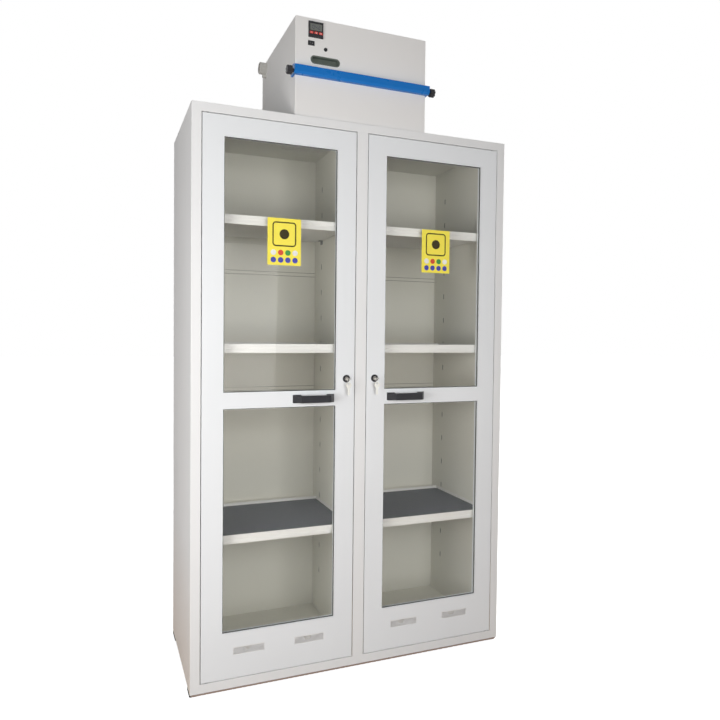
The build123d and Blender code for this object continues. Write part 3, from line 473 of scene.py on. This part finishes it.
def stamp(bm, shape, place, turn=FACING_FRONT, finish=0):
    """Adds a shape to a bmesh, turned and moved to its place, with the number of its finish."""
    for face in shape.faces:
        face.material_index = finish
    bmesh.ops.transform(shape, matrix=Matrix.Translation(place) @ turn, verts=shape.verts[:])
    held = bpy.data.meshes.new("stamp")
    shape.to_mesh(held)
    shape.free()
    bm.from_mesh(held)
    bpy.data.meshes.remove(held)


def finished(bm, name, body, finishes):
    """Makes the bmesh a piece with its finishes, riding on a body."""
    bmesh.ops.recalc_face_normals(bm, faces=bm.faces[:])
    mesh = bpy.data.meshes.new(name)
    bm.to_mesh(mesh)
    bm.free()
    for finish in finishes:
        mesh.materials.append(finish)
    mesh.shade_smooth()
    mesh.set_sharp_from_angle(angle=SMOOTH_BELOW)
    piece = bpy.data.objects.new(name, mesh)
    bpy.context.scene.collection.objects.link(piece)
    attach(piece, body)


def middle_of(low, high):
    """The middle between two corners or two values."""
    return (low + high) / 2


def surface_under(name, start, direction):
    """Where a straight line from start first meets a CAD node, and the way that spot faces."""
    found, place, normal, _ = nodes[name].ray_cast(Vector(start), Vector(direction))
    if not found:
        raise RuntimeError("nothing of " + name + " lies there")
    return place, normal


print("stamping ready")

# %% [markdown]
# ## The printed cards on the doors
# Each door carries a yellow card with a large dark figure and small coloured marks under it. The
# card itself is a CAD piece. The print could be a pattern in its finish, but the edges of a
# pattern turn soft close up, so each printed area is a plate 0.15 mm thick. The figures are
# plain: a rounded frame with a disc, and two rows of dots.

# %% Print on the cards
INK_THICKNESS = 0.15 * MM
FIGURE_WIDTH = 84 * MM
FIGURE_LINE = 4.5 * MM
FIGURE_CORNER = 12 * MM
FIGURE_RISE = 26 * MM
FIGURE_DISC = 17 * MM
DOT_RADIUS = 9.6 * MM
DOT_PITCH = 25.5 * MM
DOTS_IN_ROW = 4
DOT_ROWS = (-37 * MM, -62 * MM)

inks = [moulded("ink_" + name, colour, 0.42, 2500, 0.000005)
        for name, colour in (("black", linear(52, 46, 22)), ("white", linear(232, 232, 228)),
                             ("red", linear(214, 84, 62)), ("green", linear(70, 150, 78)),
                             ("blue", linear(74, 78, 168)))]
BLACK, WHITE, RED, GREEN, BLUE = range(len(inks))
ROW_COLOURS = ((WHITE, RED, GREEN, WHITE), (BLUE,) * DOTS_IN_ROW)

for side in ("left", "right"):
    low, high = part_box("door_sign_card_" + side)
    centre = middle_of(low, high)
    centre.y = low.y
    bm = bmesh.new()
    figure_place = centre + Vector((0, 0, FIGURE_RISE))
    figure = plate_shape(FIGURE_WIDTH, FIGURE_WIDTH, INK_THICKNESS, FIGURE_CORNER, FIGURE_LINE)
    disc = disc_shape(FIGURE_DISC, INK_THICKNESS, segments=40)
    stamp(bm, figure, figure_place, finish=BLACK)
    stamp(bm, disc, figure_place, finish=BLACK)
    for height, colours in zip(DOT_ROWS, ROW_COLOURS):
        for number, colour in enumerate(colours):
            across = (number - (DOTS_IN_ROW - 1) / 2) * DOT_PITCH
            stamp(bm, disc_shape(DOT_RADIUS, INK_THICKNESS), centre + Vector((across, 0, height)),
                  finish=colour)
    finished(bm, "card_print_" + side, "door_" + side, inks)
print("print on both cards")

# %% [markdown]
# ## Seals round the glass
# The panes are held against the door skin by an inner panel. A rubber bead runs round each
# window behind the glass and shows as a thin dark line at its edge. A swept curve would do,
# but a rounded plate cut down to its rim gives the same bead in two steps.

# %% Glass seals
BEAD_WIDTH = 2.4 * MM
BEAD_DEPTH = 3.0 * MM
BEAD_CORNER = 1.2 * MM
GLASS_OVERLAP = 10 * MM

for side in ("left", "right"):
    bm = bmesh.new()
    for pane in ("lower", "upper"):
        low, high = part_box("door_" + pane + "_glass_" + side)
        size = high - low - Vector((2, 0, 2)) * GLASS_OVERLAP
        back_face = middle_of(low, high)
        back_face.y = high.y
        bead = plate_shape(size.x, size.z, BEAD_DEPTH, BEAD_CORNER, BEAD_WIDTH)
        stamp(bm, bead, back_face, FACING_BACK)
    finished(bm, "glass_seals_" + side, "door_" + side, [seal_rubber])
print("seals round four panes")

# %% [markdown]
# ## Hems of the shelf lips
# The front lip of each tray is folded down from its rim, and its lower edge is folded back up
# flat, which leaves a narrow groove between rim and hem. The hem is a flat strip with softened
# edges, as wide as the lip. Straight lines cast at the trays find the six lips and their ends.

# %% Hem strips on the six lips
HEM_HEIGHT = 13 * MM
HEM_THICKNESS = 2.0 * MM
HEM_SOFTENING = 0.5 * MM
LIP_SETBACK = 2.5 * MM
LINE_INSIDE_LIP = 0.5 * MM
LINE_STARTS_BELOW = 100 * MM
TRAY_HEIGHT = 31 * MM
TRAYS_IN_BAY = 3

low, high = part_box("shelves")
bm = bmesh.new()
for way in (-1, 1):
    outer_end = high.x if way > 0 else low.x
    below = Vector((outer_end / 2, low.y + LIP_SETBACK + LINE_INSIDE_LIP,
                    low.z - LINE_STARTS_BELOW))
    for number in range(TRAYS_IN_BAY):
        lip_foot, _ = surface_under("shelves", below, (0, 0, 1))
        middle_line = Vector((0, lip_foot.y, lip_foot.z + TRAY_HEIGHT / 2))
        inner_end, _ = surface_under("shelves", middle_line, (way, 0, 0))
        strip = plate_shape(abs(outer_end - inner_end.x), HEM_HEIGHT, HEM_THICKNESS)
        bmesh.ops.bevel(strip, geom=strip.edges[:], offset=HEM_SOFTENING, segments=2, profile=0.5,
                        affect="EDGES", material=-1)
        place = Vector(((outer_end + inner_end.x) / 2, low.y + LIP_SETBACK,
                        lip_foot.z + HEM_HEIGHT / 2))
        stamp(bm, strip, place)
        below.z = lip_foot.z + 2 * TRAY_HEIGHT
        print("lip at height", round(lip_foot.z, 4), "wide", round(abs(outer_end - inner_end.x), 4))
finished(bm, "shelf_hems", "cabinet", [shelf_enamel])

# %% [markdown]
# ## Painted shadow in the clip slots
# The shelf clips hook into upright slots in the side liners and the partition, and every unused
# slot looks dark with the shadow of the hollow behind it. That shadow is painted: a dark strip
# lies behind each column, and studs on the strip fill the slots almost to the sheet's face.
# Seen along the wall, a strip alone would be hidden by the edges of slots only five millimetres
# wide, so the studs are shapes too.

# %% Dark strips that paint the shadow behind eight columns of slots
SLOT_WIDTH = 5 * MM
FRONT_COLUMN_INSET = 60 * MM
REAR_COLUMN_INSET = 90 * MM
WALL_SHEET = 1.5 * MM
SHADOW_STRIP_OVERLAP = 3 * MM
SHADOW_STRIP_THICKNESS = 0.4 * MM
SHADOW_STRIP_END_GAP = 30 * MM
SLOT_HEIGHT = 22 * MM
LOWEST_SLOT = 222 * MM
SLOT_PITCH = 106 * MM
SLOTS_IN_COLUMN = 16
SHADOW_STUD_PLAY = 0.2 * MM
SHADOW_STUD_DEPTH_BELOW_FACE = 0.15 * MM

bm = bmesh.new()
low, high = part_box("partition")
walls = [(low.x + WALL_SHEET, 1), (high.x - WALL_SHEET, -1)]
for name, way in (("side_liner_left", -1), ("side_liner_right", 1)):
    liner_low, liner_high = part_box(name)
    walls.append((liner_low.x if way < 0 else liner_high.x, way))
columns = (low.y + FRONT_COLUMN_INSET + SLOT_WIDTH / 2,
           high.y - REAR_COLUMN_INSET + SLOT_WIDTH / 2)
for wall, way in walls:
    away_from_bay = Matrix.Rotation(way * math.pi / 2, 4, "Z") @ FACING_FRONT
    towards_bay = Matrix.Rotation(-way * math.pi / 2, 4, "Z") @ FACING_FRONT
    for column in columns:
        strip = plate_shape(SLOT_WIDTH + 2 * SHADOW_STRIP_OVERLAP, high.z - low.z - 2 * SHADOW_STRIP_END_GAP,
                            SHADOW_STRIP_THICKNESS)
        stamp(bm, strip, Vector((wall, column, (low.z + high.z) / 2)), away_from_bay)
        for number in range(SLOTS_IN_COLUMN):
            shadow_stud = plate_shape(SLOT_WIDTH - 2 * SHADOW_STUD_PLAY, SLOT_HEIGHT - 2 * SHADOW_STUD_PLAY,
                               WALL_SHEET - SHADOW_STUD_DEPTH_BELOW_FACE)
            stamp(bm, shadow_stud, Vector((wall, column, LOWEST_SLOT + number * SLOT_PITCH)), towards_bay)
# The dark rubber finish of these strips and studs paints the shadow inside the slots.
finished(bm, "painted_slot_shadows", "cabinet", [seal_rubber])
print(len(walls) * len(columns), "strips with", SLOTS_IN_COLUMN, "studs each")

# %% [markdown]
# ## Painted shade along the lap seams
# The rear wall of each compartment is made of panels that lap over each other. The shade along
# both edges of each lap is painted as a thin grey bead, and shows as two fine lines. A straight
# line cast at the wall beside a lap finds the face that the bead lies on.

# %% Painted shade lines along three seams in each compartment
LOWEST_SEAM = 499 * MM
SEAM_PITCH = 480 * MM
SEAM_HEIGHT = 13 * MM
SEAMS_IN_BAY = 3
SEAM_SHADE_LINE = 1.6 * MM

# This grey paints the thin shade at the edges of the laps.
painted_seam_shade = moulded("painted_seam_shade", linear(136, 134, 126), 0.7, 1200, gloss=0.1)
wall_low, wall_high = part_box("back_liners")
partition_low, partition_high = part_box("partition")
bm = bmesh.new()
for inner, outer in ((partition_low.x, wall_low.x + WALL_SHEET),
                     (partition_high.x, wall_high.x - WALL_SHEET)):
    for number in range(SEAMS_IN_BAY):
        seam = LOWEST_SEAM + number * SEAM_PITCH
        for height in (seam - SEAM_SHADE_LINE / 2, seam + SEAM_HEIGHT + SEAM_SHADE_LINE / 2):
            start = Vector(((inner + outer) / 2, 0, height))
            place, _ = surface_under("back_liners", start, (0, 1, 0))
            bead = plate_shape(abs(outer - inner) - SEAM_SHADE_LINE, SEAM_SHADE_LINE, SEAM_SHADE_LINE)
            stamp(bm, bead, place)
finished(bm, "painted_seam_shade_lines", "cabinet", [painted_seam_shade])
print("seams sealed")

# %% [markdown]
# ## The controller's face
# The panel instrument shows a reading in seven-segment digits over its three red keys. Each
# digit is a set of seven small bars of which some are lit, so one short string of letters
# says a digit, and a loop sets the bars.

# %% Digits, key marks and switch marks
DIGIT_HEIGHT = 11.5 * MM
DIGIT_WIDTH = 6.6 * MM
DIGIT_PITCH = 10.6 * MM
BAR_LINE = 1.5 * MM
BAR_CORNER = BAR_LINE * 0.35
SEGMENTS = {"a": (0, 1, True), "b": (0.5, 0.5, False), "c": (0.5, -0.5, False), "d": (0, -1, True),
            "e": (-0.5, -0.5, False), "f": (-0.5, 0.5, False), "g": (0, 0, True)}
READING = ("abcdef", "bcfg", "abdeg")

digit_ink = moulded("digit_ink", linear(56, 60, 80), 0.35, 2500, 0.000005)
low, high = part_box("controller_display")
face_centre = Vector(((low.x + high.x) / 2, low.y, (low.z + high.z) / 2))
bm = bmesh.new()
for number, lit in enumerate(READING):
    digit = face_centre + Vector(((number - 1) * DIGIT_PITCH, 0, 0))
    for letter in lit:
        across, up, lying = SEGMENTS[letter]
        place = digit + Vector((across * DIGIT_WIDTH, 0, up * DIGIT_HEIGHT / 2))
        if lying:
            bar = plate_shape(DIGIT_WIDTH - BAR_LINE, BAR_LINE, INK_THICKNESS, BAR_CORNER)
        else:
            bar = plate_shape(BAR_LINE, DIGIT_HEIGHT / 2 - BAR_LINE, INK_THICKNESS, BAR_CORNER)
        stamp(bm, bar, place)
point = face_centre + Vector((-DIGIT_PITCH / 2, 0, -DIGIT_HEIGHT / 2))
stamp(bm, disc_shape(BAR_LINE * 0.6, INK_THICKNESS, segments=12), point)
finished(bm, "display_digits", "hood", [digit_ink])

MARK_LENGTH = 4.2 * MM
MARK_LINE = 1.0 * MM
for side in ("left", "middle", "right"):
    low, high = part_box("controller_key_" + side)
    centre = middle_of(low, high)
    centre.y = low.y
    bm = bmesh.new()
    if side == "middle":
        stamp(bm, disc_shape(MARK_LENGTH / 2, INK_THICKNESS, MARK_LINE), centre)
    else:
        stamp(bm, plate_shape(MARK_LENGTH, MARK_LINE, INK_THICKNESS), centre)
    if side == "right":
        arm = (MARK_LENGTH - MARK_LINE) / 2
        for way in (-1, 1):
            place = centre + Vector((0, 0, way * (arm + MARK_LINE) / 2))
            stamp(bm, plate_shape(MARK_LINE, arm, INK_THICKNESS), place)
    finished(bm, "key_mark_" + side, "menu_key_" + side, [inks[WHITE]])

low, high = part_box("rocker_switch")
centre = middle_of(low, high)
bm = bmesh.new()
for way, shape in ((-1, plate_shape(MARK_LINE, MARK_LENGTH, INK_THICKNESS)),
                   (1, disc_shape(MARK_LENGTH / 2, INK_THICKNESS, MARK_LINE))):
    start = (centre.x + way * (high.x - low.x) / 4, low.y - CAST_FROM, centre.z)
    place, normal = surface_under("rocker_switch", start, (0, 1, 0))
    lean = Vector((0, -1, 0)).rotation_difference(normal).to_matrix().to_4x4()
    stamp(bm, shape, place, lean @ FACING_FRONT)
faded_ink = moulded("faded_ink", linear(128, 128, 128), 0.5, 2500, 0.000005)
finished(bm, "rocker_marks", "power_rocker", [faded_ink])
print("controller and switch marked")

# %% [markdown]
# ## Rivets, screws and contacts
# Sheet steel is held by blind rivets along its edges, the hinges of the filter unit by pan-head
# screws, and the power inlet has three contacts in its recess. They are the same few shapes,
# repeated along lines, so a list of places and one stamp make each set.

# %% Rivets of the back panel and the roof
RIVET_RADIUS = 3.2 * MM
RIVET_HEIGHT = 1.3 * MM
EDGE_INSET = 12 * MM
PITCH_UP_THE_BACK = 240 * MM
PITCH_ACROSS_THE_BACK = 220 * MM
PITCH_ALONG_THE_ROOF = 160 * MM


def evenly(low, high, pitch):
    """Places from low to high, at most pitch apart."""
    count = math.ceil((high - low) / pitch)
    return [low + (high - low) * number / count for number in range(count + 1)]


low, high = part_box("back_panel")
bm = bmesh.new()
for z in evenly(low.z + 2 * EDGE_INSET, high.z - 2 * EDGE_INSET, PITCH_UP_THE_BACK):
    for x in (low.x + EDGE_INSET, high.x - EDGE_INSET):
        stamp(bm, rivet_shape(RIVET_RADIUS, RIVET_HEIGHT), (x, high.y, z), FACING_BACK)
for x in evenly(low.x + 6 * EDGE_INSET, high.x - 6 * EDGE_INSET, PITCH_ACROSS_THE_BACK):
    for z in (low.z + 2 * EDGE_INSET, high.z - 2 * EDGE_INSET):
        stamp(bm, rivet_shape(RIVET_RADIUS, RIVET_HEIGHT), (x, high.y, z), FACING_BACK)
finished(bm, "back_panel_rivets", "cabinet", [zinc_steel])

low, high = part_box("top_panel")
bm = bmesh.new()
for y in evenly(low.y + 3 * EDGE_INSET, high.y - 3 * EDGE_INSET, PITCH_ALONG_THE_ROOF):
    for x in (low.x + EDGE_INSET, high.x - EDGE_INSET):
        stamp(bm, rivet_shape(RIVET_RADIUS, RIVET_HEIGHT), (x, y, high.z), FACING_UP)
finished(bm, "roof_rivets", "cabinet", [cabinet_enamel])
print("panels riveted")

# %% Hinge screws, motor screws, contacts and the gasket of the filter
SCREW_RADIUS = 3.6 * MM
SCREW_HEIGHT = 1.8 * MM
LEAF_HALF_WIDTH = 25 * MM
LEAF_SCREW_ACROSS = 15 * MM
LEAF_SCREW_RISE = 11 * MM
FLANGE_CIRCLE = 53 * MM
FLANGE_SCREWS = 4

low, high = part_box("hood_hinges")
bm = bmesh.new()
for leaf_middle in (low.x + LEAF_HALF_WIDTH, high.x - LEAF_HALF_WIDTH):
    for across in (-LEAF_SCREW_ACROSS, LEAF_SCREW_ACROSS):
        spot = Vector((leaf_middle + across, high.y + 2 * CAST_FROM, low.z + LEAF_SCREW_RISE))
        place, _ = surface_under("hood_hinges", spot, (0, -1, 0))
        stamp(bm, rivet_shape(SCREW_RADIUS, SCREW_HEIGHT), place, FACING_BACK)
finished(bm, "hinge_screws", "cabinet", [zinc_steel])

low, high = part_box("fan_motor")
axis = middle_of(low, high)
bm = bmesh.new()
for number in range(FLANGE_SCREWS):
    angle = math.radians(45 + 360 / FLANGE_SCREWS * number)
    spot = Vector((axis.x + FLANGE_CIRCLE * math.cos(angle),
                   axis.y + FLANGE_CIRCLE * math.sin(angle), low.z))
    place, _ = surface_under("fan_motor", spot, (0, 0, 1))
    stamp(bm, rivet_shape(SCREW_RADIUS, 2 * SCREW_HEIGHT), place, FACING_DOWN)
finished(bm, "motor_screws", "hood", [zinc_steel])

INLET_FROM_TOP = 23 * MM
CONTACT_CIRCLE = 6 * MM
CONTACT_RADIUS = 2.0 * MM
CONTACT_LENGTH = 9 * MM
CONTACTS = 3

low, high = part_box("power_inlet")
bm = bmesh.new()
for number in range(CONTACTS):
    angle = math.radians(90 + 360 / CONTACTS * number)
    spot = Vector((low.x - CAST_FROM, (low.y + high.y) / 2 + CONTACT_CIRCLE * math.cos(angle),
                   high.z - INLET_FROM_TOP + CONTACT_CIRCLE * math.sin(angle)))
    place, _ = surface_under("power_inlet", spot, (1, 0, 0))
    stamp(bm, rivet_shape(CONTACT_RADIUS, CONTACT_LENGTH), place, FACING_LEFT)
finished(bm, "inlet_contacts", "hood", [zinc_steel])

GASKET_INSET = 3 * MM
GASKET_HEIGHT = 3 * MM
GASKET_CORNER = 6 * MM
GASKET_WIDTH = 8 * MM

low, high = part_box("filter_cassette")
size = high - low - 2 * GASKET_INSET * Vector((1, 1, 0))
bm = bmesh.new()
gasket = plate_shape(size.x, size.y, GASKET_HEIGHT, GASKET_CORNER, GASKET_WIDTH)
stamp(bm, gasket, Vector(((low.x + high.x) / 2, (low.y + high.y) / 2, high.z)), FACING_UP)
finished(bm, "cassette_gasket", "cabinet", [seal_rubber])
print("screws, contacts and gasket made")

# %% [markdown]
# ## The stage
# The floor is plain and pale. Where it is seen, also through glass and in metal, it is white
# and keeps the cabinet's soft shadow, and a glow that grows with distance melts it into the
# backdrop, so no horizon shows. For the rays that only gather light it is a warm brown, because
# the left wall in the photograph turns warmer towards its foot. The world does the same: white
# where it is seen, a dim grey where it lights.

# %% Floor and world
FLOOR_REACH = 30.0
GLOW_BESIDE_CABINET = 0.80
GLOW_FAR_AWAY = 1.0
GLOW_GROWS_FROM = 1.2
GLOW_GROWS_TO = 4.5
WORLD_LIGHT = 0.15

bm = bmesh.new()
bmesh.ops.create_grid(bm, x_segments=1, y_segments=1, size=FLOOR_REACH)
floor_mesh = bpy.data.meshes.new("floor")
bm.to_mesh(floor_mesh)
bm.free()
floor = bpy.data.objects.new("floor", floor_mesh)
bpy.context.scene.collection.objects.link(floor)


def is_seen(tree):
    """1 for rays that show a surface: from the camera, off metal or through glass."""
    rays = node(tree, "LightPath").outputs
    not_straight = calculated(tree, "MAXIMUM", rays["Is Glossy Ray"], rays["Is Transmission Ray"])
    return calculated(tree, "MAXIMUM", rays["Is Camera Ray"], not_straight)


floor_paint, tree, shader = finish_tree("floor_paint")
tree.nodes.remove(shader)
matt = node(tree, "BsdfDiffuse", Color=linear(128, 100, 76))
bright = node(tree, "BsdfDiffuse", Color=linear(238, 238, 238))
glow = node(tree, "Emission")
place = node(tree, "TexCoord")
distance = tree.nodes.new("ShaderNodeVectorMath")
distance.operation = "LENGTH"
tree.links.new(place.outputs["Object"], distance.inputs[0])
growing = spread(tree, distance.outputs["Value"], GLOW_BESIDE_CABINET, GLOW_FAR_AWAY,
                 GLOW_GROWS_FROM, GLOW_GROWS_TO)
tree.links.new(growing, glow.inputs["Strength"])
shown = tree.nodes.new("ShaderNodeAddShader")
tree.links.new(bright.outputs["BSDF"], shown.inputs[0])
tree.links.new(glow.outputs["Emission"], shown.inputs[1])
surface = blend_shaders(tree, is_seen(tree), matt.outputs["BSDF"], shown.outputs["Shader"])
tree.links.new(surface, tree.nodes["Material Output"].inputs["Surface"])
floor_mesh.materials.append(floor_paint)

world = bpy.data.worlds.new("studio")
world.use_nodes = True
tree = world.node_tree
tree.nodes.clear()
lighting = node(tree, "Background", Color=linear(250, 250, 252), Strength=WORLD_LIGHT)
backdrop = node(tree, "Background", Color=(1, 1, 1, 1), Strength=1.0)
surroundings = blend_shaders(tree, is_seen(tree), lighting.outputs["Background"],
                             backdrop.outputs["Background"])
tree.links.new(surroundings, node(tree, "OutputWorld").inputs["Surface"])
bpy.context.scene.world = world
print("floor and world ready")

# %% [markdown]
# ## The lamps
# The photograph was lit softly from the left and the front: the left door is brightest and the
# front falls off to the right. One lamp stands near on the left and an equal one in front. The
# front one would show as a square in the windows, so it is hidden from mirror rays, and so is
# the rear one, which would turn the zinc hinges white. The lamps at the right, behind and
# overhead stand behind the front plane, and light what the camera doesn't see.

# %% Lamps
MIDDLE = Vector((0.0, 0.0, 1.1))


def softbox(name, place, size, watts, mirrored=True):
    """A square area lamp at a place, turned towards the middle of the cabinet."""
    lamp = bpy.data.lights.new(name, "AREA")
    lamp.size = size
    lamp.energy = watts
    holder = bpy.data.objects.new(name, lamp)
    holder.location = place
    holder.rotation_mode = "QUATERNION"
    holder.rotation_quaternion = (MIDDLE - Vector(place)).to_track_quat("-Z", "Y")
    holder.visible_glossy = mirrored
    bpy.context.scene.collection.objects.link(holder)


softbox("key_lamp", (-2.2, -1.55, 1.05), 1.2, 34)
softbox("fill_lamp", (-0.25, -2.7, 1.25), 1.2, 34, mirrored=False)
softbox("right_lamp", (3.0, 0.8, 1.6), 1.6, 40)
softbox("rear_lamp", (1.4, 3.0, 2.2), 2.0, 60, mirrored=False)
softbox("top_lamp", (0.0, 0.3, 4.6), 2.4, 20)
print("lamps ready")
